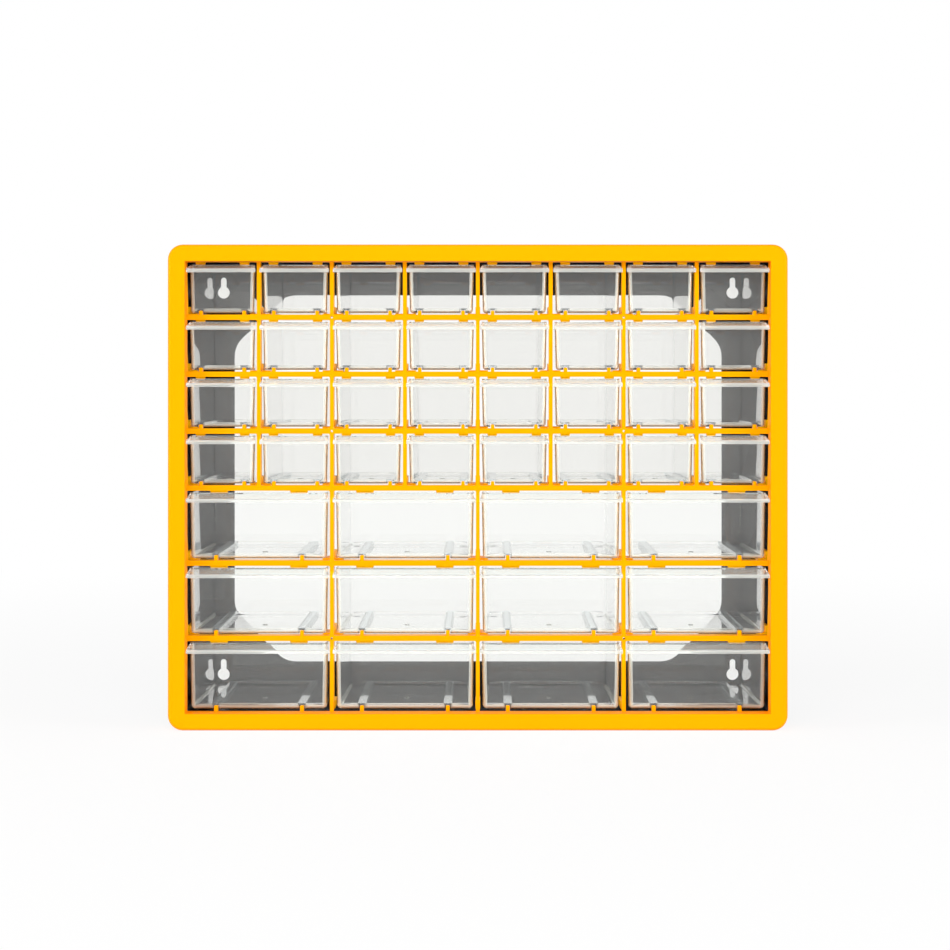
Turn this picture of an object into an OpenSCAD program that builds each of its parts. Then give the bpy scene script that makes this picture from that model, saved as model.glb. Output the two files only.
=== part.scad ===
// Bench and wall cabinet for small parts: a moulded front frame whose grid of cells holds clear
// drawers, and a rear casing with an open back and keyhole slots for hanging.
// Millimetres. X to the right, Y to the back, Z up, origin at the middle of the base.

/* [Cells] */
// Small drawers side by side
small_columns = 8; // [4:2:8]
// Rows of small drawers
small_rows = 4; // [1:1:4]
// Rows of large drawers
large_rows = 3; // [1:1:3]
// Clear width of a small cell
small_cell_w = 55.6; // [50:0.1:75]
// Clear height of a small cell
small_cell_h = 41.5; // [34:0.1:60]
// Clear height of a large cell
large_cell_h = 56.1; // [34:0.1:80]
// Width of the upright bars
bar_w = 3; // [2:0.1:5]
// Height of the cross rails
rail_h = 4.2; // [3.6:0.1:8]

/* [Front frame] */
// Width of the frame's face at the sides
face_w = 13.8; // [12.5:0.1:22]
// Height of the frame's face at the top and the bottom
face_h = 13.45; // [12.5:0.05:22]
// Thickness of the face
face_t = 3; // [2:0.1:4]
// Radius of the frame's outer corners
corner_r = 12; // [8:0.5:18]
// Radius of the frame's rounded front edge
edge_r = 3; // [1:0.1:4]
// Depth of the skirt that laps over the casing
skirt_d = 24; // [16:0.5:40]
// Wall of the skirt
skirt_t = 2.7; // [2:0.1:3.5]
// Wall of the inner return that the cells start from
return_t = 2; // [1.5:0.1:2.5]
// Lean of the return between the face and the grid
return_draft = 0.8; // [0.2:0.1:1.5]
// Depth of the grid behind the face
grid_recess = 11; // [9:0.5:16]
// Depth of the bars and rails
grid_d = 12; // [10:0.5:20]
// Bore of the small holes at the crossings
pin_bore = 1.9; // [1:0.1:2.4]
// Depth of the web that each small hole goes through
pin_web = 2.5; // [1.5:0.1:5]
// Width of the relief behind each small hole
pin_relief = 3; // [2.6:0.1:3.4]

/* [Drawer guides] */
// Length of the guides behind the grid
guide_d = 24; // [12:0.5:60]
// How far the upright webs stand proud of the bars, on each side
web_proud = 0.4; // [0.1:0.1:0.8]
// Height of the web over the cell's floor
web_h = 6.5; // [4:0.1:12]
// Reach of the ledge under a drawer
ledge_w = 6.7; // [4:0.1:9]
// Depth of the ledge's root on the back of the rail
ledge_root = 1; // [0.6:0.1:3]

/* [Stop tabs and nubs] */
// How far a stop tab hangs into the cell
tab_h = 3; // [2.2:0.1:4]
// Thickness of a stop tab
tab_t = 2.6; // [1.5:0.1:4]
// Extra width of a tab at its root, on each side
tab_flare = 0.9; // [0.2:0.1:2]
// Width of a small cell's tab at its tip
small_tab_w = 6.6; // [4:0.1:9]
// Distance of a small cell's tabs from the cell's sides
small_tab_inset = 10.1; // [9:0.1:14]
// Width of a large cell's tab at its tip
large_tab_w = 13.2; // [8:0.1:18]
// Distance of a large cell's tabs from the cell's sides
large_tab_inset = 25; // [16:0.1:36]
// Length of a floor nub, front to back
nub_d = 8; // [5:0.5:9.5]
// Offset of a nub's front end behind the grid's face
nub_setback = 0.3; // [0.2:0.1:0.5]
// Width of a small cell's nub
small_nub_w = 2.8; // [2:0.1:4]
// Height of a small cell's nub
small_nub_h = 3.2; // [2.6:0.1:5]
// Distance of a small cell's nubs from the cell's sides
small_nub_inset = 10.4; // [10:0.1:14]
// Width of a large cell's nub
large_nub_w = 3; // [2:0.1:5]
// Height of a large cell's nub
large_nub_h = 4.2; // [2.6:0.1:6]
// Distance of a large cell's nubs from the cell's sides
large_nub_inset = 22.6; // [12:0.1:36]

/* [Drawers] */
// Depth of a drawer without its lip
drawer_d = 133.5; // [90:0.5:220]
// Wall of a drawer
wall_t = 1.5; // [1:0.1:2.2]
// Floor of a drawer
floor_t = 1.4; // [1:0.1:2.2]
// How much a drawer narrows towards its back, on each side
drawer_taper = 2.5; // [0.5:0.1:4]
// Radius of a drawer's upright corners
drawer_corner_r = 3.2; // [2.5:0.1:5]
// Wall of the channels that ride over the nubs
channel_t = 1.2; // [0.8:0.1:2]

/* [Drawer lip] */
// Fall of the lip from the drawer's top to its rim
lip_drop = 4.5; // [2:0.1:8]
// Height of the lip's rim
lip_rim_h = 2.8; // [1:0.1:6]
// Wall of the lip
lip_t = 1.3; // [1:0.1:2]

/* [Clearances] */
// Between a cell's side and the drawer
side_gap = 1.6; // [1:0.1:2.5]
// Between a cell's floor and the drawer
drawer_lift = 1.4; // [1:0.1:2]
// Between a cell's top and the drawer
top_gap = 1.5; // [0.8:0.1:1.8]
// Between the grid's face and the drawer's front wall
front_setback = 0.5; // [0.2:0.1:1]
// Between the frame's face and the lip's rim
lip_setback = 0.6; // [0.2:0.1:3]
// Between a cell's side and the lip
lip_side_gap = 0.6; // [0.3:0.1:1]
// Between a drawer and the ledges it runs on
ledge_gap = 0.3; // [0.2:0.05:0.6]
// Between a nub and the channel's roof
nub_top_gap = 0.3; // [0.2:0.05:0.6]
// Between a nub and the channel's sides
nub_side_gap = 0.5; // [0.3:0.05:1]
// Between a drawer's front wall and the stop tabs
tab_gap = 0.3; // [0.2:0.05:0.6]
// Between the skirt and the casing
casing_gap = 0.2; // [0.1:0.05:0.5]
// Between the drawers and the back panel
rear_gap = 12.5; // [4:0.1:40]

/* [Rear casing] */
// Wall of the casing
casing_t = 2.5; // [1.8:0.1:3.5]
// Radius of the casing's rounded back edge
casing_edge_r = 2.5; // [1:0.1:3]
// Width of the back panel beside the opening
border_w = 33.1; // [30:0.1:60]
// Height of the back panel over and under the opening
border_h = 32.1; // [30:0.1:50]
// Leg of the opening's cut corners
opening_cut = 44; // [20:0.5:60]
// Radius that blends the cut corners
opening_r = 22; // [4:0.5:24]
// Width of a rear foot
foot_w = 60; // [30:1:120]
// Depth of a rear foot
foot_d = 14; // [8:0.5:24]
// Distance of the rear feet from the casing's sides
foot_inset = 30; // [15:1:60]

/* [Keyhole slots] */
// Radius of the round part that the screw head passes
keyhole_r = 5.2; // [4:0.1:7]
// Width of the slot that holds the screw
keyhole_slot_w = 5; // [3:0.1:5.5]
// Height of the slot's top over the round part's middle
keyhole_rise = 13; // [9:0.5:15]
// Distance of the slots from the casing's sides
keyhole_inset = 23.7; // [20:0.1:24]
// Distance of the upper slots' round part from the casing's top
keyhole_top = 29.7; // [24:0.1:40]
// Distance of the lower slots' round part from the casing's bottom
keyhole_bottom = 21.2; // [14:0.1:24]

/* [Hidden] */
$fn = 64;
eps = 0.01;
frame_color = [1, 0.75, 0.03];
casing_color = [0.07, 0.07, 0.075];
drawer_color = [0.85, 0.88, 0.88, 0.45];

large_columns = small_columns / 2;
small_pitch = small_cell_w + bar_w;
large_cell_w = 2 * small_cell_w + bar_w;
large_pitch = large_cell_w + bar_w;
rows = small_rows + large_rows;
grid_w = small_columns * small_pitch - bar_w;
grid_h = small_rows * small_cell_h + large_rows * large_cell_h + (rows - 1) * rail_h;

// The overall size follows from the cells, the frame's face and the drawers.
frame_w = grid_w + 2 * (face_w + return_draft);
frame_h = grid_h + 2 * (face_h + return_draft);
cabinet_d = grid_recess + front_setback + drawer_d + rear_gap + casing_t;
front_y = -cabinet_d / 2;
back_y = cabinet_d / 2;
grid_y = front_y + grid_recess;
grid_back_y = grid_y + grid_d;
grid_base = face_h + return_draft;

drawer_front_y = grid_y + front_setback;
drawer_back_y = drawer_front_y + drawer_d;
tab_y = drawer_front_y + wall_t + tab_gap;
nub_y = grid_y + nub_setback;
lip_reach = grid_recess + front_setback - lip_setback;

casing_inset = skirt_t + casing_gap;
casing_w = frame_w - 2 * casing_inset;
casing_h = frame_h - 2 * casing_inset;
casing_r = corner_r - casing_inset;
casing_front_y = front_y + face_t + casing_gap;
hole_rails = [for (i = [1, 3, 6]) if (i < rows) i];

// Rows are counted from the top, columns from the left.
function is_small(row) = row <= small_rows;
function columns(row) = is_small(row) ? small_columns : large_columns;
function cell_w(row) = is_small(row) ? small_cell_w : large_cell_w;
function cell_h(row) = is_small(row) ? small_cell_h : large_cell_h;
function cell_top(row) = row == 1 ? grid_base + grid_h : cell_floor(row - 1) - rail_h;
function cell_floor(row) = cell_top(row) - cell_h(row);
function pitch(row) = cell_w(row) + bar_w;
function cell_x(row, col) = (col - (columns(row) + 1) / 2) * pitch(row);
function bar_x(row, bar) = cell_x(row, bar) + pitch(row) / 2;
function tab_w(row) = is_small(row) ? small_tab_w : large_tab_w;
function tab_x(row) = cell_w(row) / 2 - (is_small(row) ? small_tab_inset : large_tab_inset);
function nub_w(row) = is_small(row) ? small_nub_w : large_nub_w;
function nub_h(row) = is_small(row) ? small_nub_h : large_nub_h;
function nub_x(row) = cell_w(row) / 2 - (is_small(row) ? small_nub_inset : large_nub_inset);
function drawer_name(row, col) =
    str(is_small(row) ? "small" : "large", "_drawer_r", row, "_c", col);

// Stands a flat outline in X and Z up, and gives it a depth from y0 to y1.
module upright(y0, y1) {
    translate([0, y1, 0]) rotate([90, 0, 0]) linear_extrude(y1 - y0) children();
}

module rounded_outline(w, h, r) {
    translate([-w / 2 + r, 0]) square([w - 2 * r, h]);
    translate([-w / 2, r]) square([w, h - 2 * r]);
    for (x = [-w / 2 + r, w / 2 - r], z = [r, h - r]) translate([x, z]) circle(r);
}

// A slab w wide and h high from y = 0 to y = d, with corners of radius r and the edge at y = 0
// rounded by e.
module rounded_slab(w, h, d, r, e) {
    upright(e, d) rounded_outline(w, h, r);
    translate([0, 0, e]) upright(0, 2 * e) rounded_outline(w - 2 * e, h - 2 * e, r - e);
    for (z = [e, h - e])
        translate([-w / 2 + r, e, z]) rotate([0, 90, 0]) cylinder(r = e, h = w - 2 * r);
    for (x = [-w / 2 + e, w / 2 - e])
        translate([x, e, r]) cylinder(r = e, h = h - 2 * r);
    for (x = [-w / 2 + r, w / 2 - r], z = [r, h - r])
        translate([x, e, z]) rotate([90, 0, 0])
            rotate_extrude() intersection() {
                translate([r - e, 0]) circle(e);
                translate([0, -r]) square([2 * r, 2 * r]);
            }
}

// Half of an opening that leans out by the draft from the grid to the face, as depth and width.
function draft_side(half) = [[front_y - eps, half + return_draft], [grid_y, half],
                             [front_y + skirt_d + eps, half]];
function draft_outline(half) = concat(
    draft_side(half), [for (i = [2:-1:0]) [draft_side(half)[i][0], -draft_side(half)[i][1]]]);

module frame_opening() intersection() {
    linear_extrude(frame_h) polygon([for (p = draft_outline(grid_w / 2)) [p[1], p[0]]]);
    translate([-frame_w / 2, 0, grid_base + grid_h / 2]) rotate([90, 0, 90])
        linear_extrude(frame_w) polygon(draft_outline(grid_h / 2));
}

module bezel() color(frame_color) difference() {
    translate([0, front_y, 0]) rounded_slab(frame_w, frame_h, skirt_d, corner_r, edge_r);
    frame_opening();
    // The channel behind the face that the casing's rim goes into.
    difference() {
        translate([0, 0, skirt_t]) upright(front_y + face_t, front_y + skirt_d + eps)
            rounded_outline(frame_w - 2 * skirt_t, frame_h - 2 * skirt_t, corner_r - skirt_t);
        translate([0, 0, grid_base - return_t]) upright(front_y, grid_back_y)
            translate([-grid_w / 2 - return_t, 0])
                square([grid_w + 2 * return_t, grid_h + 2 * return_t]);
    }
}

module grid_rails() color(frame_color) for (i = [1:rows - 1]) difference() {
    translate([-grid_w / 2, grid_y, cell_floor(i) - rail_h]) cube([grid_w, grid_d, rail_h]);
    if (len(search(i, hole_rails)) > 0)
        for (x = [-large_pitch, large_pitch]) translate([x, grid_y, cell_floor(i) - rail_h / 2])
            rotate([-90, 0, 0]) {
                translate([0, 0, -eps]) cylinder(d = pin_bore, h = grid_d + 2 * eps);
                translate([0, 0, pin_web]) cylinder(d = pin_relief, h = grid_d);
            }
}

module grid_bars() color(frame_color)
    for (row = [1:rows], bar = [1:columns(row) - 1])
        translate([bar_x(row, bar) - bar_w / 2, grid_y, cell_floor(row)])
            cube([bar_w, grid_d, cell_h(row)]);

// Upright webs that keep neighbouring drawers apart, on the backs of the bars and the returns.
module guide_webs() color(frame_color) for (row = [1:rows]) {
    foot = row < rows ? drawer_lift - ledge_gap : 0;
    for (bar = [1:columns(row) - 1])
        translate([bar_x(row, bar) - bar_w / 2 - web_proud, grid_back_y, cell_floor(row) + foot])
            cube([bar_w + 2 * web_proud, guide_d, web_h - foot]);
    if (row < rows) for (side = [0, 1]) mirror([side, 0])
        translate([grid_w / 2 - web_proud, grid_back_y, cell_floor(row) + foot])
            cube([web_proud + return_t, guide_d, web_h - foot]);
}

// Flat ledges that the drawers' corners run on, on the backs of the rails.
module guide_ledges() color(frame_color) for (row = [1:rows - 1]) {
    rise = drawer_lift - ledge_gap;
    for (bar = [1:columns(row) - 1])
        translate([bar_x(row, bar) - bar_w / 2 - ledge_w, grid_back_y,
                   cell_floor(row) - ledge_root])
            cube([bar_w + 2 * ledge_w, guide_d, ledge_root + rise]);
    for (side = [0, 1]) mirror([side, 0])
        translate([grid_w / 2 - ledge_w, grid_back_y, cell_floor(row) - ledge_root])
            cube([ledge_w + return_t, guide_d, ledge_root + rise]);
}

// Tabs behind the top of each drawer's front wall: they stop the drawer when it is pushed in,
// and meet its rear wall when it is pulled out.
module stop_tabs() color(frame_color) for (row = [1:rows], col = [1:columns(row)])
    for (side = [-1, 1]) {
        tip = tab_w(row) / 2;
        root = tip + tab_flare;
        translate([cell_x(row, col) + side * tab_x(row), 0, cell_top(row)])
            upright(tab_y, tab_y + tab_t)
                polygon([[-root, 0], [-tip, -tab_h], [tip, -tab_h], [root, 0]]);
    }

// Nubs on each cell's floor that run in the channels under the drawer.
module floor_nubs() color(frame_color) for (row = [1:rows], col = [1:columns(row)])
    for (side = [-1, 1]) {
        r = nub_w(row) / 2;
        translate([cell_x(row, col) + side * nub_x(row), 0, cell_floor(row)])
            upright(nub_y, nub_y + nub_d) {
                translate([-r, 0]) square([2 * r, nub_h(row) - r]);
                translate([0, nub_h(row) - r]) circle(r);
            }
    }

// The opening's outline about its middle: a rectangle with cut corners, each bend blended.
module opening_outline(w, h, cut, r) {
    bend = r * tan(22.5);
    flat = bend / sqrt(2);
    for (mx = [0, 1], mz = [0, 1]) mirror([mx, 0]) mirror([0, mz]) {
        polygon([[0, 0], [w / 2, 0], [w / 2, h / 2 - cut - bend],
                 [w / 2 - flat, h / 2 - cut + flat], [w / 2 - cut + flat, h / 2 - flat],
                 [w / 2 - cut - bend, h / 2], [0, h / 2]]);
        translate([w / 2 - r, h / 2 - cut - bend]) circle(r);
        translate([w / 2 - cut - bend, h / 2 - r]) circle(r);
    }
}

module keyhole() {
    top = keyhole_rise - keyhole_slot_w / 2;
    circle(keyhole_r);
    translate([-keyhole_slot_w / 2, 0]) square([keyhole_slot_w, top]);
    translate([0, top]) circle(keyhole_slot_w / 2);
}

module rear_casing() color(casing_color) {
    difference() {
        translate([0, back_y, casing_inset]) mirror([0, 1, 0])
            rounded_slab(casing_w, casing_h, back_y - casing_front_y, casing_r, casing_edge_r);
        translate([0, 0, casing_inset + casing_t])
            upright(casing_front_y - eps, back_y - casing_t)
                rounded_outline(casing_w - 2 * casing_t, casing_h - 2 * casing_t,
                                casing_r - casing_t);
        upright(back_y - casing_t - eps, back_y + eps) {
            translate([0, casing_inset + casing_h / 2])
                opening_outline(casing_w - 2 * border_w, casing_h - 2 * border_h,
                                opening_cut, opening_r);
            for (x = [-1, 1] * (casing_w / 2 - keyhole_inset)) {
                translate([x, casing_inset + casing_h - keyhole_top]) keyhole();
                translate([x, casing_inset + keyhole_bottom]) keyhole();
            }
        }
    }
    // Feet that bring the casing level with the frame's lower edge.
    for (side = [-1, 1])
        translate([side * (casing_w / 2 - foot_inset - foot_w / 2) - foot_w / 2,
                   back_y - casing_edge_r - foot_d, 0])
            cube([foot_w, foot_d, casing_inset + casing_t / 2]);
}

// A drawer's outline from above: half wide at the front, narrower by the taper at the back.
module drawer_plan(half, y0, y1, taper, r) {
    lean = atan(taper / (y1 - y0));
    front_x = half - r * (1 + sin(lean)) / cos(lean);
    back_x = half - (r + (y1 - y0 - r) * sin(lean)) / cos(lean);
    for (side = [0, 1]) mirror([side, 0]) {
        polygon([[0, y0], [front_x, y0],
                 [front_x + r * cos(lean), y0 + r + r * sin(lean)],
                 [back_x + r * cos(lean), y1 - r + r * sin(lean)],
                 [back_x, y1], [0, y1]]);
        translate([front_x, y0 + r]) circle(r);
        translate([back_x, y1 - r]) circle(r);
    }
}

// The finger lip's section, seen along X, from the top of the drawer's front wall.
module lip_section() {
    fall = lip_drop / lip_reach;
    thick = lip_t * sqrt(1 + fall * fall);
    polygon([[0, 0], [-lip_reach, -lip_drop], [-lip_reach, -lip_drop - lip_rim_h],
             [-lip_reach + lip_t, -lip_drop - lip_rim_h],
             [-lip_reach + lip_t, -fall * (lip_reach - lip_t) - thick], [0, -thick],
             [wall_t, -thick], [wall_t, 0]]);
}

module drawer(row) color(drawer_color) {
    half = cell_w(row) / 2 - side_gap;
    tall = cell_h(row) - drawer_lift - top_gap;
    groove_w = nub_w(row) + 2 * nub_side_gap;
    groove_h = nub_h(row) - drawer_lift + nub_top_gap;
    lip_half = cell_w(row) / 2 - lip_side_gap;
    difference() {
        union() {
            difference() {
                linear_extrude(tall)
                    drawer_plan(half, drawer_front_y, drawer_back_y, drawer_taper,
                                drawer_corner_r);
                translate([0, 0, floor_t]) linear_extrude(tall)
                    drawer_plan(half - wall_t, drawer_front_y + wall_t, drawer_back_y - wall_t,
                                drawer_taper, drawer_corner_r - wall_t);
            }
            for (side = [-1, 1])
                translate([side * nub_x(row) - groove_w / 2 - channel_t,
                           drawer_front_y + wall_t / 2, floor_t / 2])
                    cube([groove_w + 2 * channel_t, drawer_d - wall_t,
                          groove_h + channel_t - floor_t / 2]);
            translate([-lip_half, drawer_front_y, tall]) rotate([90, 0, 90])
                linear_extrude(2 * lip_half) lip_section();
        }
        for (side = [-1, 1])
            translate([side * nub_x(row) - groove_w / 2, drawer_front_y - eps, -eps])
                cube([groove_w, drawer_d + 2 * eps, groove_h + eps]);
    }
}

bezel();
grid_rails();
grid_bars();
guide_webs();
guide_ledges();
stop_tabs();
floor_nubs();
rear_casing();
for (row = [1:rows], col = [1:columns(row)])
    translate([cell_x(row, col), 0, cell_floor(row) + drawer_lift]) drawer(row);
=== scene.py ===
import math

import bmesh
import bpy
from mathutils import Matrix, Vector


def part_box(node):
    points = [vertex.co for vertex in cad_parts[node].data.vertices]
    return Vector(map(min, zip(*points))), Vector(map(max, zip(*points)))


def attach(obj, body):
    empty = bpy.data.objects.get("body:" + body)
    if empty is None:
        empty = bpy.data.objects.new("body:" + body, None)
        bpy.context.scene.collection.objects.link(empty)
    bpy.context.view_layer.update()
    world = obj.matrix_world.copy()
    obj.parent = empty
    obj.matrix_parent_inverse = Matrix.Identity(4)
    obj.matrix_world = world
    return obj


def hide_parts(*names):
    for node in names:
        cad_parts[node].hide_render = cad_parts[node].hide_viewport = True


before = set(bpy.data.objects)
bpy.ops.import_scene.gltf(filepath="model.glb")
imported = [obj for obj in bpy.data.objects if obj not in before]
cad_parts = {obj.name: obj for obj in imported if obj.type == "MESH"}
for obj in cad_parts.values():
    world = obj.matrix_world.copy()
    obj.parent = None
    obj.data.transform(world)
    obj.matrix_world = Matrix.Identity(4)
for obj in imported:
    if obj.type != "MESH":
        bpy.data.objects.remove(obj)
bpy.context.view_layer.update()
mm = 0.001
near, cutNear = 1e-6, 1e-7  # how close counts as the same place, for corners and for cuts


def addObject(name, data):
    made = bpy.data.objects.new(name, data)
    bpy.context.scene.collection.objects.link(made)
    return made


# ---- the photograph's view: straight on, the eye level with the rail under the second row of drawers
cameraView = {
    "place": (3.4 * mm, -1840 * mm, 283.6 * mm),
    "sensor": 36, "lens": 83.65, "clip": (0.05, 60),
    "shiftRight": -0.0074, "shiftUp": -0.105,
}


def setCamera():
    view = cameraView
    data = bpy.data.cameras.new("photoCamera")
    data.sensor_width, data.lens = view["sensor"], view["lens"]
    data.shift_x, data.shift_y = view["shiftRight"], view["shiftUp"]
    data.clip_start, data.clip_end = view["clip"]
    camera = addObject("photoCamera", data)
    camera.location = view["place"]
    camera.rotation_euler = (math.pi / 2, 0, 0)
    bpy.context.scene.camera = camera
    bpy.context.scene.view_settings.view_transform = "Standard"


setCamera()
print("camera set")


# ---- small helpers for node trees
def addNode(tree, kind, **values):
    node = tree.nodes.new(kind)
    for name, value in values.items():
        setattr(node, name, value)
    return node


def newGroup(name, inputs, outputs):
    tree = bpy.data.node_groups.new(name, "ShaderNodeTree")
    for label, kind, value in inputs:
        socket = tree.interface.new_socket(label, in_out="INPUT", socket_type="NodeSocket" + kind)
        socket.default_value = value
    for label, kind in outputs:
        tree.interface.new_socket(label, in_out="OUTPUT", socket_type="NodeSocket" + kind)
    return tree, tree.nodes.new("NodeGroupInput"), tree.nodes.new("NodeGroupOutput")


def addMix(tree, kind, factor, low, high):
    node = addNode(tree, "ShaderNodeMix", data_type=kind)
    spots = {"FLOAT": (0, 2, 3, 0), "RGBA": (0, 6, 7, 2)}[kind]
    for spot, value in zip(spots[:3], (factor, low, high)):
        if isinstance(value, bpy.types.NodeSocket):
            tree.links.new(value, node.inputs[spot])
        else:
            node.inputs[spot].default_value = value
    return node.outputs[spots[3]]


# Puts out the first shader, with the other mixed in by its share.
def mixShaders(tree, share, first, other, output):
    mix = addNode(tree, "ShaderNodeMixShader")
    for spot, value in enumerate((share, first, other)):
        tree.links.new(value, mix.inputs[spot])
    tree.links.new(mix.outputs["Shader"], output.inputs["Surface"])


# Stretches a value from one range onto another.
def spread(tree, value, low, high, start=0, end=1, way="LINEAR"):
    node = addNode(tree, "ShaderNodeMapRange", interpolation_type=way)
    for label, number in (("From Min", start), ("From Max", end), ("To Min", low), ("To Max", high)):
        node.inputs[label].default_value = number
    tree.links.new(value, node.inputs["Value"])
    return node.outputs["Result"]


skinLook = {
    "grain": 900, "grainDetail": 3, "grainInGloss": 0.35,
    "flow": 7, "flowDetail": 2, "flowBend": 0.6,
}


# Fine grain, slow shading and faint flow marks of a moulded skin.
def makeMouldedSkin():
    tree, given, result = newGroup(
        "mouldedSkin",
        [("Grain Size", "Float", skinLook["grain"]), ("Flow Size", "Float", skinLook["flow"])],
        [("Tone", "Float"), ("Gloss", "Float"), ("Height", "Float")],
    )
    place = addNode(tree, "ShaderNodeTexCoord").outputs["Object"]
    grain = addNode(tree, "ShaderNodeTexNoise")
    grain.inputs["Detail"].default_value = skinLook["grainDetail"]
    flow = addNode(tree, "ShaderNodeTexNoise")
    flow.inputs["Detail"].default_value = skinLook["flowDetail"]
    flow.inputs["Distortion"].default_value = skinLook["flowBend"]
    for texture, label in ((grain, "Grain Size"), (flow, "Flow Size")):
        tree.links.new(place, texture.inputs["Vector"])
        tree.links.new(given.outputs[label], texture.inputs["Scale"])
    tree.links.new(flow.outputs["Fac"], result.inputs["Tone"])
    gloss = addMix(tree, "FLOAT", skinLook["grainInGloss"], flow.outputs["Fac"], grain.outputs["Fac"])
    tree.links.new(gloss, result.inputs["Gloss"])
    tree.links.new(grain.outputs["Fac"], result.inputs["Height"])
    return tree


mouldedSkin = makeMouldedSkin()


def newMaterial(name):
    material = bpy.data.materials.new(name)
    material.use_nodes = True
    tree = material.node_tree
    return material, tree, tree.nodes["Principled BSDF"], tree.nodes["Material Output"]


def addBump(tree, height, shader, strength, distance):
    bump = addNode(tree, "ShaderNodeBump")
    bump.inputs["Strength"].default_value = strength
    bump.inputs["Distance"].default_value = distance
    tree.links.new(height, bump.inputs["Height"])
    tree.links.new(bump.outputs["Normal"], shader.inputs["Normal"])


yellowFinish = {
    "face": (1.0, 0.415, 0.0005, 1),
    "faceDeep": (1.0, 0.39, 0.0005, 1),
    # Painted shade: the side and recess colours are deeper orange copies of the face colour, for faces that
    # turn aside from the front.
    "edge": (1.0, 0.32, 0.001, 1),
    "recessPaintedShade": (1.0, 0.32, 0.0005, 1),
    "roughness": (0.34, 0.46),
    "turned": (-0.985, -0.55),
    "inside": (241 * mm, 236 * mm),
    "gloss": 0.15, "glossTint": (1, 0.6, 0.04, 1), "bump": (0.1, 0.04 * mm),
}
# The grid's sides take a lighter painted shade than the bezel's returns. Tabs and guides take a lighter face
# colour still, a painted light for the light that reaches them off the frame.
gridFinish = dict(yellowFinish, recessPaintedShade=(1.0, 0.42, 0.002, 1))
innerPaintedLightFinish = dict(gridFinish, face=(1.0, 0.56, 0.004, 1), faceDeep=(1.0, 0.53, 0.004, 1))


# The plastic is yellow on what faces the front, and where it turns aside it takes a painted shade of deeper
# orange.
# The bezel's sides and what lies inside its opening have a painted shade colour each.
def makeYellowPlastic(name, finish):
    material, tree, shader, _ = newMaterial(name)
    skin = addNode(tree, "ShaderNodeGroup", node_tree=mouldedSkin)
    face = addMix(tree, "RGBA", skin.outputs["Tone"], finish["face"], finish["faceDeep"])
    place = addNode(tree, "ShaderNodeTexCoord")
    where, turned = addNode(tree, "ShaderNodeSeparateXYZ"), addNode(tree, "ShaderNodeSeparateXYZ")
    tree.links.new(place.outputs["Object"], where.inputs["Vector"])
    tree.links.new(place.outputs["Normal"], turned.inputs["Vector"])
    away = addNode(tree, "ShaderNodeMath", operation="ABSOLUTE")
    tree.links.new(where.outputs["X"], away.inputs[0])
    # Painted shade: faces turned aside from the front take a deeper orange, one colour for the bezel's sides
    # and one for what lies inside its opening.
    inside = spread(tree, away.outputs["Value"], 0, 1, *finish["inside"])
    paintedShadeMask = spread(tree, turned.outputs["Y"], 0, 1, *finish["turned"])
    paintedShadeColour = addMix(tree, "RGBA", inside, finish["edge"], finish["recessPaintedShade"])
    tree.links.new(addMix(tree, "RGBA", paintedShadeMask, face, paintedShadeColour), shader.inputs["Base Color"])
    tree.links.new(spread(tree, skin.outputs["Gloss"], *finish["roughness"]), shader.inputs["Roughness"])
    shader.inputs["Specular IOR Level"].default_value = finish["gloss"]
    shader.inputs["Specular Tint"].default_value = finish["glossTint"]
    addBump(tree, skin.outputs["Height"], shader, *finish["bump"])
    return material


blackFinish = {
    "colour": (0.010, 0.010, 0.011, 1), "pale": (0.018, 0.018, 0.020, 1), "roughness": (0.16, 0.3),
    "grain": 600, "bump": (0.08, 0.04 * mm),
}


def makeBlackPlastic():
    material, tree, shader, _ = newMaterial("blackGlossyPlastic")
    finish = blackFinish
    skin = addNode(tree, "ShaderNodeGroup", node_tree=mouldedSkin)
    skin.inputs["Grain Size"].default_value = finish["grain"]
    colour = addMix(tree, "RGBA", skin.outputs["Tone"], finish["colour"], finish["pale"])
    tree.links.new(colour, shader.inputs["Base Color"])
    tree.links.new(spread(tree, skin.outputs["Gloss"], *finish["roughness"]), shader.inputs["Roughness"])
    addBump(tree, skin.outputs["Height"], shader, *finish["bump"])
    return material


clearFinishes = {
    # Painted shade: the small drawers' walls carry a darker tint than the large drawers' walls.
    "smallWall": {"colour": (0.94, 0.94, 0.925, 1), "paler": (0.925, 0.925, 0.91, 1),
                  "roughness": (0.0, 0.03), "clear": 0.98, "haze": 0.045, "bend": 1.5},
    "largeWall": {"colour": (0.98, 0.983, 0.972, 1), "paler": (0.968, 0.972, 0.96, 1),
                  "roughness": (0.0, 0.03), "clear": 0.988, "haze": 0.045, "bend": 1.5},
    # Painted light: the milky finish's pale diffuse share shows as light lines along the front's rounded
    # edges, the top rim and the lip's front.
    "milkyPaintedLight": {"colour": (0.93, 0.94, 0.88, 1), "paler": (0.90, 0.91, 0.85, 1),
                  "roughness": (0.02, 0.08), "clear": 0.72, "haze": 0.0, "bend": 1.5},
    "frostedLip": {"colour": (0.89, 0.95, 0.96, 1), "paler": (0.87, 0.93, 0.94, 1),
                   "roughness": (0.02, 0.07), "clear": 0.91, "haze": 0.0, "bend": 1.2},
    # Painted highlight: this white finish goes on the lip's narrow rim faces as bright lines.
    "rimPaintedHighlight": {"colour": (0.95, 0.95, 0.94, 1), "paler": (0.92, 0.92, 0.91, 1),
                 "roughness": (0.1, 0.2), "clear": 0.64, "haze": 0.0, "bend": 1.3},
}


# What the clear finishes share. The shade is the light that they let through to what is behind them.
clearLook = {
    "grain": 160, "flow": 14, "bump": (0.02, 0.2 * mm),
    "hazeRoughness": 0.35, "hazeTint": (0.92, 0.97, 1.0, 1), "shade": (0.86, 0.87, 0.86, 1),
}


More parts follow.
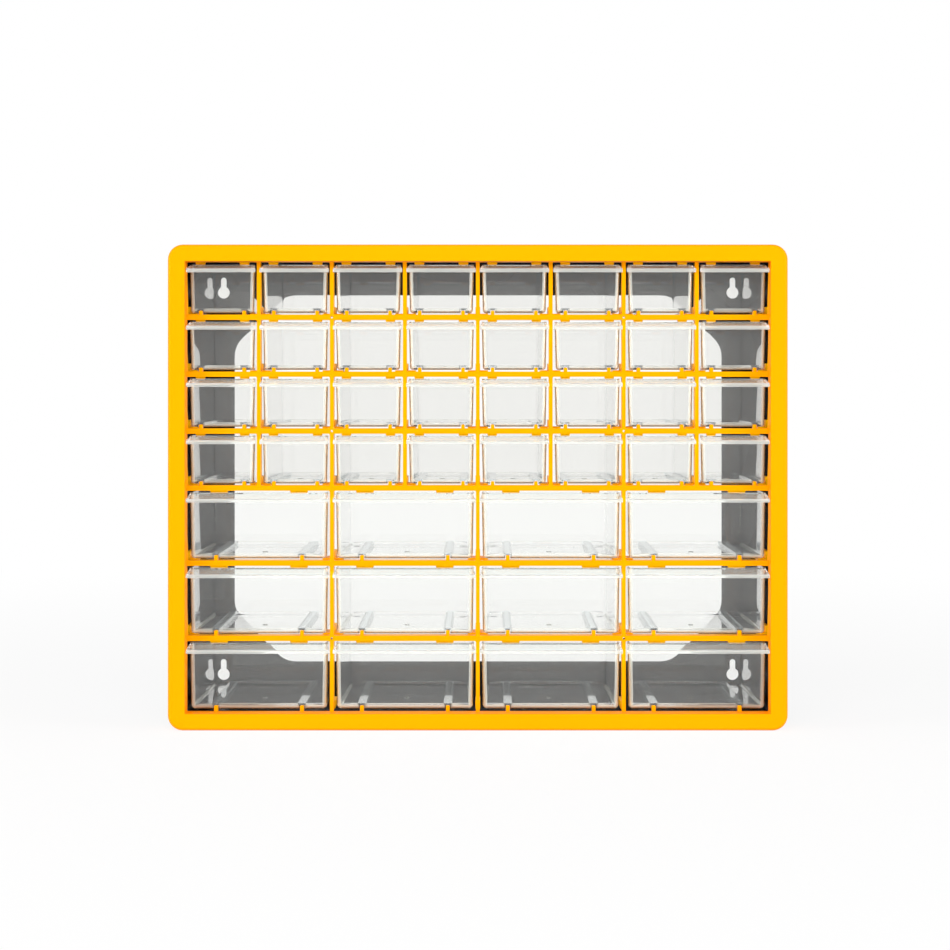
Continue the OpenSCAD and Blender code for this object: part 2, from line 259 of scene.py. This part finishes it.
def makeClearPlastic(name):
    material, tree, shader, output = newMaterial(name)
    finish = clearFinishes[name]
    skin = addNode(tree, "ShaderNodeGroup", node_tree=mouldedSkin)
    skin.inputs["Grain Size"].default_value = clearLook["grain"]
    skin.inputs["Flow Size"].default_value = clearLook["flow"]
    colour = addMix(tree, "RGBA", skin.outputs["Tone"], finish["colour"], finish["paler"])
    tree.links.new(colour, shader.inputs["Base Color"])
    tree.links.new(spread(tree, skin.outputs["Gloss"], *finish["roughness"]), shader.inputs["Roughness"])
    shader.inputs["Transmission Weight"].default_value = finish["clear"]
    shader.inputs["IOR"].default_value = finish["bend"]
    shader.inputs["Sheen Weight"].default_value = finish["haze"]
    shader.inputs["Sheen Roughness"].default_value = clearLook["hazeRoughness"]
    shader.inputs["Sheen Tint"].default_value = clearLook["hazeTint"]
    addBump(tree, skin.outputs["Tone"], shader, *clearLook["bump"])
    rays = addNode(tree, "ShaderNodeLightPath")
    through = addNode(tree, "ShaderNodeBsdfTransparent")
    through.inputs["Color"].default_value = clearLook["shade"]
    mixShaders(tree, rays.outputs["Is Shadow Ray"], shader.outputs["BSDF"], through.outputs["BSDF"], output)
    return material


yellowPlastic = makeYellowPlastic("yellowMouldedPlastic", yellowFinish)
gridYellow = makeYellowPlastic("yellowGridPlastic", gridFinish)
# The inner material's lighter face colour is painted light.
innerYellowPaintedLight = makeYellowPlastic("yellowInnerPaintedLight", innerPaintedLightFinish)
blackPlastic = makeBlackPlastic()
clearPlastics = {name: makeClearPlastic(name) for name in clearFinishes}
print("materials made")


def setMaterial(piece, material):
    piece.data.materials.clear()
    piece.data.materials.append(material)


# ---- drawers: one shell for each size, with channels under the floor and a finger lip
drawerShell = {
    "wall": 1.5 * mm,
    "front": -68.5 * mm,
    "back": 65 * mm,
    "taper": 2.5 * mm,
    "draft": 0.9 * mm,
    "draftAlong": 0.63 * mm,
    "rimRound": 0.3 * mm,
    "cornerSteps": 5,
    "footSteps": 4,
}
drawerSizes = {
    "small": {
        "half": 26.2 * mm, "tall": 38.6 * mm, "cornerRound": 3.2 * mm, "footRound": 2.2 * mm,
        "channelAt": 17.4 * mm, "channelWide": 3.8 * mm, "channelTall": 2.1 * mm,
        "lipDrop": 3.4 * mm, "lipRim": 3.0 * mm, "lipFlare": 1.5 * mm,
    },
    "large": {
        "half": 55.5 * mm, "tall": 53.2 * mm, "cornerRound": 3.6 * mm, "footRound": 3.4 * mm,
        "channelAt": 34.5 * mm, "channelWide": 4.0 * mm, "channelTall": 3.1 * mm,
        "lipDrop": 4.5 * mm, "lipRim": 2.8 * mm, "lipFlare": 1.7 * mm,
    },
}
drawerLip = {
    "reach": 10.9 * mm, "wall": 1.3 * mm, "edgeRound": 0.35 * mm, "inset": 0.4 * mm, "below": 0.12 * mm,
    "wallsDeep": 0.55, "wallsUnder": 1.7,
}


def cutAcross(bm, at, along):
    bmesh.ops.bisect_plane(bm, geom=bm.verts[:] + bm.edges[:] + bm.faces[:], dist=cutNear,
                           plane_co=at, plane_no=along)


def startBlock(low, high):
    bm = bmesh.new()
    bmesh.ops.create_cube(bm, size=1)
    bmesh.ops.scale(bm, vec=Vector(high) - Vector(low), verts=bm.verts)
    bmesh.ops.translate(bm, vec=(Vector(high) + Vector(low)) / 2, verts=bm.verts)
    return bm


def roundEdges(bm, edges, radius, segments):
    bmesh.ops.bevel(bm, geom=edges, offset=radius, offset_type="OFFSET", segments=segments,
                    profile=0.5, affect="EDGES", material=-1)


def openShell(size):
    shell = drawerShell
    half, tall = size["half"], size["tall"]
    bm = startBlock((-half, shell["front"], 0), (half, shell["back"], tall))
    rear = [v for v in bm.verts if v.co.y > 0]
    bmesh.ops.scale(bm, vec=((half - shell["taper"]) / half, 1, 1), verts=rear)
    foot = [v for v in bm.verts if v.co.z < tall / 2]
    bmesh.ops.scale(bm, vec=((half - shell["draft"]) / half, 1, 1), verts=foot)
    for v in foot:
        v.co.y -= math.copysign(shell["draftAlong"], v.co.y)
    upright = [e for e in bm.edges if abs(e.verts[0].co.z - e.verts[1].co.z) > tall / 2]
    roundEdges(bm, upright, size["cornerRound"], shell["cornerSteps"])
    floor = min(bm.faces, key=lambda face: face.calc_center_median().z)
    roundEdges(bm, floor.edges[:], size["footRound"], shell["footSteps"])
    roof = max(bm.faces, key=lambda face: face.calc_center_median().z)
    bmesh.ops.delete(bm, geom=[roof], context="FACES_ONLY")
    addChannels(bm, size)
    bmesh.ops.recalc_face_normals(bm, faces=bm.faces)
    return bm


# Two channels run the length of the floor and open through the front and rear walls.
def addChannels(bm, size):
    tall, half = size["channelTall"], size["channelWide"] / 2
    cutAcross(bm, (0, 0, tall), (0, 0, 1))
    for middle in (-size["channelAt"], size["channelAt"]):
        sides = [middle - half, middle + half]
        for side in sides:
            cutAcross(bm, (side, 0, 0), (1, 0, 0))
        within = [f for f in bm.faces if abs(f.calc_center_median().x - middle) < half
                  and f.calc_center_median().z < tall]
        bmesh.ops.delete(bm, geom=within, context="FACES")
        ceiling = []
        for side in sides:
            chain = [e for e in bm.edges if e.is_boundary
                     and all(abs(v.co.x - side) < near and v.co.z < tall + near for v in e.verts)]
            ends = [v for v in {v for e in chain for v in e.verts} if abs(v.co.z - tall) < near]
            top = bm.edges.new(ends)
            ceiling.append(top)
            bmesh.ops.contextual_create(bm, geom=chain + [top])
        ceiling += [e for e in bm.edges if e.is_boundary and e not in ceiling
                    and all(abs(v.co.z - tall) < near and abs(v.co.x - middle) < half + near
                            for v in e.verts)]
        bmesh.ops.contextual_create(bm, geom=ceiling)


# The lip starts as a block that slopes down and widens to the front, open under and behind.
def lipBlock(size):
    lip, shell = drawerLip, drawerShell
    half, top = size["half"] - lip["inset"], size["tall"] - lip["below"]
    back = shell["front"] + shell["wall"] * lip["wallsDeep"]
    bm = startBlock((-half, shell["front"] - lip["reach"], top - size["lipRim"] - size["lipDrop"]),
                    (half, back, top))
    for v in bm.verts:
        high = v.co.z > top - size["lipRim"]
        if v.co.y < shell["front"]:
            v.co.x += math.copysign(size["lipFlare"] + lip["inset"], v.co.x)
            if high:
                v.co.z -= size["lipDrop"]
        elif not high:
            v.co.z = top - lip["wall"] * lip["wallsUnder"]
    bm.normal_update()
    under = min(bm.faces, key=lambda face: face.normal.z)
    rear = max(bm.faces, key=lambda face: face.normal.y)
    bmesh.ops.delete(bm, geom=[under, rear], context="FACES")
    return bm


# The gate's disc in the middle of the floor and the ejectors' discs near its corners.
drawerMarks = {
    "gate": {"radius": 2.2 * mm, "rise": 0.55 * mm, "along": -15 * mm},
    "ejector": {"radius": 2.6 * mm, "rise": 0.22 * mm, "along": 48 * mm, "inset": 10.5 * mm},
    "narrowing": 0.9, "wallsDeep": 0.5, "sides": 20,
}


def addMarks(bm, size):
    marks, wall = drawerMarks, drawerShell["wall"]
    gate, ejector = marks["gate"], marks["ejector"]
    spots = [(0, gate["along"], gate)]
    for x in (-1, 1):
        for y in (-1, 1):
            spots.append((x * (size["half"] - ejector["inset"]), y * ejector["along"], ejector))
    for x, y, mark in spots:
        low, high = wall * marks["wallsDeep"], wall + mark["rise"]
        bmesh.ops.create_cone(bm, cap_ends=True, segments=marks["sides"], radius1=mark["radius"],
                              radius2=mark["radius"] * marks["narrowing"], depth=high - low,
                              matrix=Matrix.Translation((x, y, (high + low) / 2)))


def asObject(bm, name):
    mesh = bpy.data.meshes.new(name)
    bm.to_mesh(mesh)
    bm.free()
    return addObject(name, mesh)


def addModifier(piece, kind, **values):
    modifier = piece.modifiers.new(kind.lower(), kind)
    for name, value in values.items():
        setattr(modifier, name, value)


# The mesh that a piece shows, with its modifiers worked in.
def finishedMesh(piece, name):
    shown = piece.evaluated_get(bpy.context.evaluated_depsgraph_get())
    mesh = bpy.data.meshes.new_from_object(shown)
    mesh.name = name
    return mesh


def thicken(piece, wall):
    addModifier(piece, "SOLIDIFY", thickness=wall, offset=-1, use_even_offset=True,
                use_quality_normals=True)


# How far an edge turns, in degrees, before it is rounded or shaded sharp.
edgeLook = {"steps": 2, "softenOver": 50, "drawerSharpOver": 40, "frameSharpOver": 35, "weight": 90}


def softenCorners(piece, radius):
    addModifier(piece, "BEVEL", width=radius, segments=edgeLook["steps"], limit_method="ANGLE",
                angle_limit=math.radians(edgeLook["softenOver"]), use_clamp_overlap=True)


# Rounded edges shade smoothly, and flat faces stay flat.
def smoothPiece(piece, sharpOver):
    piece.data.polygons.foreach_set("use_smooth", [True] * len(piece.data.polygons))
    piece.data.set_sharp_from_angle(angle=math.radians(sharpOver))
    addModifier(piece, "WEIGHTED_NORMAL", mode="FACE_AREA", weight=edgeLook["weight"], keep_sharp=True)


def removeObjects(*done):
    for piece in done:
        bpy.data.objects.remove(piece)


def makeDrawerMesh(sizeName):
    size = drawerSizes[sizeName]
    body = asObject(openShell(size), sizeName + "DrawerBody")
    thicken(body, drawerShell["wall"])
    softenCorners(body, drawerShell["rimRound"])
    lip = asObject(lipBlock(size), sizeName + "DrawerLip")
    thicken(lip, drawerLip["wall"])
    softenCorners(lip, drawerLip["edgeRound"])
    marks = bmesh.new()
    addMarks(marks, size)
    marks = asObject(marks, sizeName + "DrawerMarks")
    for part in (lip, marks):
        addModifier(body, "BOOLEAN", operation="UNION", solver="MANIFOLD", object=part)
    whole = addObject(sizeName + "Whole", finishedMesh(body, sizeName + "Joined"))
    smoothPiece(whole, edgeLook["drawerSharpOver"])
    mesh = finishedMesh(whole, sizeName + "Drawer")
    removeObjects(body, lip, marks, whole)
    mesh.materials.clear()
    for finish in (sizeName + "Wall", "milkyPaintedLight", "frostedLip", "rimPaintedHighlight"):
        mesh.materials.append(clearPlastics[finish])
    shareFinishes(mesh, size)
    return mesh


def outline(mesh, face):
    corners = [mesh.vertices[index].co for index in face.vertices]
    return sum((a - b).length for a, b in zip(corners, corners[1:] + corners[:1]))


# Widths below which a face is part of a rim or of a rounded edge, and how far it looks up or ahead.
finishZones = {
    "rim": 0.6 * mm, "round": 1.4 * mm, "slack": 0.05 * mm, "rimDeep": 0.5 * mm, "up": 0.5, "ahead": 0.7,
}


# Walls are clear, the front's rounded edges look milky with painted light lines, lip and channels are
# frosted, the lip's rims get a painted white highlight.
def shareFinishes(mesh, size):
    clear, milkyWithPaintedLight, frosted, white = range(4)
    zones, slack = finishZones, finishZones["slack"]
    reach = size["channelWide"] / 2 + drawerShell["wall"] + slack
    roof = size["channelTall"] + drawerShell["wall"] + slack
    for face in mesh.polygons:
        middle = face.center
        inChannel = abs(abs(middle.x) - size["channelAt"]) < reach and middle.z < roof
        onRim = middle.z > size["tall"] - zones["rimDeep"] and face.normal.z > zones["up"]
        wide = 2 * face.area / outline(mesh, face)
        ahead = middle.y < drawerShell["front"] - slack
        # The lip's narrow rim faces get the painted white highlight.
        if ahead and wide < zones["rim"]:
            face.material_index = white
        elif inChannel or (ahead and face.normal.y > -zones["ahead"]):
            face.material_index = frosted
        # The lip's forward faces, the top rim and the front's rounded edges get the milky finish with its
        # painted light.
        elif ahead or onRim or (middle.y < 0 and wide < zones["round"]):
            face.material_index = milkyWithPaintedLight
        else:
            face.material_index = clear


def placeDrawers():
    meshes = {sizeName: makeDrawerMesh(sizeName) for sizeName in drawerSizes}
    for sizeName, mesh in meshes.items():
        print(sizeName, "drawer:", len(mesh.polygons), "faces")
    for node in sorted(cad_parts):
        if "_drawer_" not in node:
            continue
        low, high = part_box(node)
        mesh = meshes[node.split("_")[0]].copy()
        mesh.transform(Matrix.Translation(((low.x + high.x) / 2, 0, low.z)))
        drawer = addObject(node.replace("_drawer", "Drawer"), mesh)
        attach(drawer, node)
        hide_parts(node)


placeDrawers()
print("drawers placed")


# ---- the frame: a bezel of even wall, and a grid, tabs and nubs with soft edges
bezelShape = {
    "half": 247.5 * mm, "tall": 388 * mm, "front": -80 * mm, "skirtEnd": -56 * mm, "wall": 2.4 * mm,
    "cornerRound": 12 * mm, "edgeRound": 3.0 * mm, "soften": 0.6 * mm,
    "openHalf": 233.7 * mm, "openLow": 13.45 * mm, "openHigh": 374.55 * mm,
    "returnEnd": -65 * mm, "lean": 0.3 * mm, "cornerSteps": 8, "edgeSteps": 5,
}
cellGrid = {  # in millimetres
    "top": 373.75, "rail": 4.2, "bar": 3.0, "smallRows": 4, "largeRows": 3, "smallColumns": 8,
    "smallWide": 55.6, "smallTall": 41.5, "largeTall": 56.1,
}
gridShape = {
    "front": -69 * mm, "border": 2.6 * mm, "depth": 12 * mm, "half": 235.3 * mm, "low": 11.8 * mm,
    "high": 376.2 * mm, "reach": 0.7 * mm, "cornerRound": 1.1 * mm, "edgeRound": 0.45 * mm,
    "cornerSteps": 3, "cornerOver": 1,  # how far a corner turns, in radians
    "holeAt": 117.2 * mm, "holeRails": (1, 3, 6), "holeFront": 0.95 * mm, "holeBack": 1.4 * mm,
    "holeSides": 20, "holeSpare": 1 * mm,
}
tabShape = {
    "front": -66.9 * mm, "back": -64.1 * mm, "hang": 3.0 * mm, "root": 1.4 * mm, "flare": 0.9 * mm,
    "small": {"at": 17.7 * mm, "half": 3.3 * mm}, "large": {"at": 32.1 * mm, "half": 6.6 * mm},
    "edgeRound": 0.5 * mm, "edgeSteps": 2,
}
nubShape = {
    "front": -68.7 * mm, "back": -60.7 * mm, "root": 1.4 * mm, "edgeRound": 0.8 * mm, "edgeSteps": 3,
    "small": {"at": 17.4 * mm, "half": 1.4 * mm, "tall": 3.2 * mm},
    "large": {"at": 34.5 * mm, "half": 1.5 * mm, "tall": 4.2 * mm},
}


# Each cell as its row, its middle, its half width, its floor and its top.
def listCells():
    grid, cells, top = cellGrid, [], cellGrid["top"]
    for row in range(1, grid["smallRows"] + grid["largeRows"] + 1):
        small = row <= grid["smallRows"]
        wide = grid["smallWide"] if small else 2 * grid["smallWide"] + grid["bar"]
        count = grid["smallColumns"] if small else grid["smallColumns"] // 2
        floor = top - (grid["smallTall"] if small else grid["largeTall"])
        for column in range(count):
            middle = (column - (count - 1) / 2) * (wide + grid["bar"])
            cells.append({"row": row, "size": "small" if small else "large", "middle": middle * mm,
                          "half": wide / 2 * mm, "floor": floor * mm, "top": top * mm})
        top = floor - grid["rail"]
    return cells


cells = listCells()


def flatOn(bm, depth):
    return [f for f in bm.faces if all(abs(v.co.y - depth) < near for v in f.verts)]


# The edges that run from the front to the back for more than a millimetre.
def edgesAlong(bm):
    return [e for e in bm.edges if abs(e.verts[0].co.y - e.verts[1].co.y) > 1 * mm]


def makeBezel():
    shape = bezelShape
    bm = startBlock((-shape["half"], shape["front"], 0), (shape["half"], shape["skirtEnd"], shape["tall"]))
    roundEdges(bm, edgesAlong(bm), shape["cornerRound"], shape["cornerSteps"])
    roundEdges(bm, flatOn(bm, shape["front"])[0].edges[:], shape["edgeRound"], shape["edgeSteps"])
    bmesh.ops.delete(bm, geom=flatOn(bm, shape["skirtEnd"]), context="FACES_ONLY")
    for at, across in (((-shape["openHalf"], 0, 0), (1, 0, 0)), ((shape["openHalf"], 0, 0), (1, 0, 0)),
                       ((0, 0, shape["openLow"]), (0, 0, 1)), ((0, 0, shape["openHigh"]), (0, 0, 1))):
        front = flatOn(bm, shape["front"])
        edges = list({e for f in front for e in f.edges})
        corners = list({v for f in front for v in f.verts})
        bmesh.ops.bisect_plane(bm, geom=front + edges + corners, dist=cutNear, plane_co=at, plane_no=across)
    middle = Vector((0, shape["front"], shape["tall"] / 2))
    opening = min(flatOn(bm, shape["front"]), key=lambda f: (f.calc_center_median() - middle).length)
    rim = opening.edges[:]
    bmesh.ops.delete(bm, geom=[opening], context="FACES_ONLY")
    pulled = bmesh.ops.extrude_edge_only(bm, edges=rim)["geom"]
    for v in pulled:
        if isinstance(v, bmesh.types.BMVert):
            v.co.y = shape["returnEnd"]
            v.co.x -= math.copysign(shape["lean"], v.co.x)
            v.co.z -= math.copysign(shape["lean"], v.co.z - middle.z)
    bmesh.ops.recalc_face_normals(bm, faces=bm.faces)
    bezel = asObject(bm, "bezelMoulding")
    thicken(bezel, shape["wall"])
    softenCorners(bezel, shape["soften"])
    return bezel


def pushBack(bm, faces, depth, keepFront=False):
    pushed = bmesh.ops.extrude_face_region(bm, geom=faces, use_keep_orig=True)["geom"]
    if not keepFront:
        bmesh.ops.delete(bm, geom=faces, context="FACES")
    corners = [v for v in pushed if isinstance(v, bmesh.types.BMVert)]
    bmesh.ops.translate(bm, vec=(0, depth, 0), verts=corners)
    return [f for f in pushed if isinstance(f, bmesh.types.BMFace)]


# Small holes go through the rails at six crossings, wider towards the back.
def makePins():
    shape, bm = gridShape, bmesh.new()
    heights = {cell["floor"] - cellGrid["rail"] / 2 * mm
               for cell in cells if cell["row"] in shape["holeRails"]}
    turn = Matrix.Rotation(-math.pi / 2, 4, "X")
    for height in sorted(heights):
        for x in (-shape["holeAt"], shape["holeAt"]):
            place = Matrix.Translation((x, shape["front"] + shape["depth"] / 2, height))
            bmesh.ops.create_cone(bm, cap_ends=True, segments=shape["holeSides"],
                                  radius1=shape["holeFront"], radius2=shape["holeBack"],
                                  depth=shape["depth"] + shape["holeSpare"], matrix=place @ turn)
    return asObject(bm, "pins")


def makeGrid():
    shape = gridShape
    bm = bmesh.new()
    bmesh.ops.create_grid(bm, x_segments=1, y_segments=1, size=1)
    bmesh.ops.rotate(bm, matrix=Matrix.Rotation(math.pi / 2, 3, "X"), verts=bm.verts)
    bmesh.ops.scale(bm, vec=(shape["half"], 1, (shape["high"] - shape["low"]) / 2), verts=bm.verts)
    bmesh.ops.translate(bm, vec=(0, shape["front"], (shape["high"] + shape["low"]) / 2), verts=bm.verts)
    outer = max(cell["middle"] + cell["half"] for cell in cells)
    highest, lowest = max(cell["top"] for cell in cells), min(cell["floor"] for cell in cells)
    holes = []
    for cell in cells:
        left, right = cell["middle"] - cell["half"], cell["middle"] + cell["half"]
        holes.append((left - (shape["reach"] if left < near - outer else 0),
                      right + (shape["reach"] if right > outer - near else 0),
                      cell["floor"] - (shape["reach"] if cell["floor"] < lowest + near else 0),
                      cell["top"] + (shape["reach"] if cell["top"] > highest - near else 0)))
    for x in {round(x, 6) for hole in holes for x in hole[:2]}:
        cutAcross(bm, (x, 0, 0), (1, 0, 0))
    for z in {round(z, 6) for hole in holes for z in hole[2:]}:
        cutAcross(bm, (0, 0, z), (0, 0, 1))

    def inHole(face):
        at = face.calc_center_median()
        return any(low < at.x < high and floor < at.z < top for low, high, floor, top in holes)

    bmesh.ops.delete(bm, geom=[f for f in bm.faces if inHole(f)], context="FACES")
    reach = outer + shape["reach"]
    rear = pushBack(bm, bm.faces[:], shape["border"], keepFront=True)
    inner = [f for f in rear if abs(f.calc_center_median().x) < reach
             and lowest - shape["reach"] < f.calc_center_median().z < highest + shape["reach"]]
    pushBack(bm, inner, shape["depth"] - shape["border"])
    bmesh.ops.remove_doubles(bm, verts=bm.verts, dist=near)
    bmesh.ops.recalc_face_normals(bm, faces=bm.faces)
    corners = [e for e in edgesAlong(bm) if e.is_manifold and e.calc_face_angle() > shape["cornerOver"]]
    roundEdges(bm, corners, shape["cornerRound"], shape["cornerSteps"])
    grid = asObject(bm, "gridMoulding")
    softenCorners(grid, shape["edgeRound"])
    pins = makePins()
    addModifier(grid, "BOOLEAN", operation="DIFFERENCE", solver="MANIFOLD", object=pins)
    pierced = finishedMesh(grid, "gridMoulding")
    removeObjects(grid, pins)
    return addObject("gridMoulding", pierced)


def addBlock(bm, low, high):
    middle, reach = (Vector(high) + Vector(low)) / 2, Vector(high) - Vector(low)
    return bmesh.ops.create_cube(bm, size=1, matrix=Matrix.LocRotScale(middle, None, reach))["verts"]


def makeTabs():
    bm, shape = bmesh.new(), tabShape
    for cell in cells:
        tab = shape[cell["size"]]
        for side in (-1, 1):
            middle = cell["middle"] + side * tab["at"]
            verts = addBlock(bm, (middle - tab["half"], shape["front"], cell["top"] - shape["hang"]),
                             (middle + tab["half"], shape["back"], cell["top"] + shape["root"]))
            for v in verts:
                if v.co.z > cell["top"]:
                    v.co.x += math.copysign(shape["flare"], v.co.x - middle)
    roundEdges(bm, bm.edges[:], shape["edgeRound"], shape["edgeSteps"])
    return asObject(bm, "stopTabs")


def makeNubs():
    bm, shape = bmesh.new(), nubShape
    for cell in cells:
        nub = shape[cell["size"]]
        for side in (-1, 1):
            middle = cell["middle"] + side * nub["at"]
            addBlock(bm, (middle - nub["half"], shape["front"], cell["floor"] - shape["root"]),
                     (middle + nub["half"], shape["back"], cell["floor"] + nub["tall"]))
    roundEdges(bm, bm.edges[:], shape["edgeRound"], shape["edgeSteps"])
    return asObject(bm, "floorNubs")


def joinFrame(piece, material, *nodes):
    smoothPiece(piece, edgeLook["frameSharpOver"])
    setMaterial(piece, material)
    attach(piece, "cabinet")
    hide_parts(*nodes)
    print(piece.name, "stands for", *nodes)


joinFrame(makeBezel(), yellowPlastic, "bezel")
joinFrame(makeGrid(), gridYellow, "grid_rails", "grid_bars")
joinFrame(makeTabs(), innerYellowPaintedLight, "stop_tabs")
joinFrame(makeNubs(), gridYellow, "floor_nubs")


# ---- the guides and the casing keep the CAD shapes
def dressNode(node, material):
    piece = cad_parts[node]
    setMaterial(piece, material)


for node in ("guide_webs", "guide_ledges"):
    dressNode(node, innerYellowPaintedLight)
dressNode("rear_casing", blackPlastic)
print("guides and casing dressed")


# ---- a white studio: the lamps give shape, and the white shows only to the eye and in gloss
studio = {
    "fill": 0.30, "aim": (0, 0, 0.19),
    "lamps": {
        "leftLamp": {"place": (-2.6, -1.25, 0.7), "size": 1.3, "power": 50},
        "rightLamp": {"place": (2.6, -1.25, 0.7), "size": 1.3, "power": 50},
        "topLamp": {"place": (-0.2, -2.0, 2.3), "size": 1.6, "power": 38},
    },
}


def eyeOrGloss(tree):
    rays = addNode(tree, "ShaderNodeLightPath")
    seen = rays.outputs["Is Camera Ray"]
    for label in ("Is Glossy Ray", "Is Transmission Ray"):
        more = addNode(tree, "ShaderNodeMath", operation="MAXIMUM")
        tree.links.new(seen, more.inputs[0])
        tree.links.new(rays.outputs[label], more.inputs[1])
        seen = more.outputs["Value"]
    return seen


def setWorld():
    world = bpy.data.worlds.new("whiteStudio")
    bpy.context.scene.world = world
    world.use_nodes = True
    tree = world.node_tree
    background = tree.nodes["Background"]
    background.inputs["Color"].default_value = (1, 1, 1, 1)
    tree.links.new(addMix(tree, "FLOAT", eyeOrGloss(tree), studio["fill"], 1.0),
                   background.inputs["Strength"])


def addLamp(name, place, size, power):
    data = bpy.data.lights.new(name, "AREA")
    data.energy, data.size = power, size
    lamp = addObject(name, data)
    lamp.location = place
    lamp.rotation_euler = (Vector(studio["aim"]) - Vector(place)).to_track_quat("-Z", "Y").to_euler()


# The floor is white to the eye. Near the cabinet it keeps the shadow, and further off it fades to the white.
floorLook = {
    "half": 12, "drop": 0.2 * mm, "colour": (0.92, 0.92, 0.92, 1), "roughness": 0.8,
    "whiteNear": 0.86, "fade": (0.3, 1.5),
}


def makeFloor():
    look, bm = floorLook, bmesh.new()
    bmesh.ops.create_grid(bm, x_segments=1, y_segments=1, size=look["half"])
    bmesh.ops.translate(bm, vec=(0, 0, -look["drop"]), verts=bm.verts)
    floor = asObject(bm, "studioFloor")
    material, tree, shader, output = newMaterial("paleFloor")
    shader.inputs["Base Color"].default_value = look["colour"]
    shader.inputs["Roughness"].default_value = look["roughness"]
    white = addNode(tree, "ShaderNodeEmission")
    away = addNode(tree, "ShaderNodeVectorMath", operation="LENGTH")
    tree.links.new(addNode(tree, "ShaderNodeTexCoord").outputs["Object"], away.inputs[0])
    fade = spread(tree, away.outputs["Value"], look["whiteNear"], 1, *look["fade"], way="SMOOTHSTEP")
    share = addNode(tree, "ShaderNodeMath", operation="MULTIPLY")
    tree.links.new(eyeOrGloss(tree), share.inputs[0])
    tree.links.new(fade, share.inputs[1])
    mixShaders(tree, share.outputs["Value"], shader.outputs["BSDF"], white.outputs["Emission"], output)
    setMaterial(floor, material)


setWorld()
for name, lamp in studio["lamps"].items():
    addLamp(name, lamp["place"], lamp["size"], lamp["power"])
makeFloor()
print("studio lit")
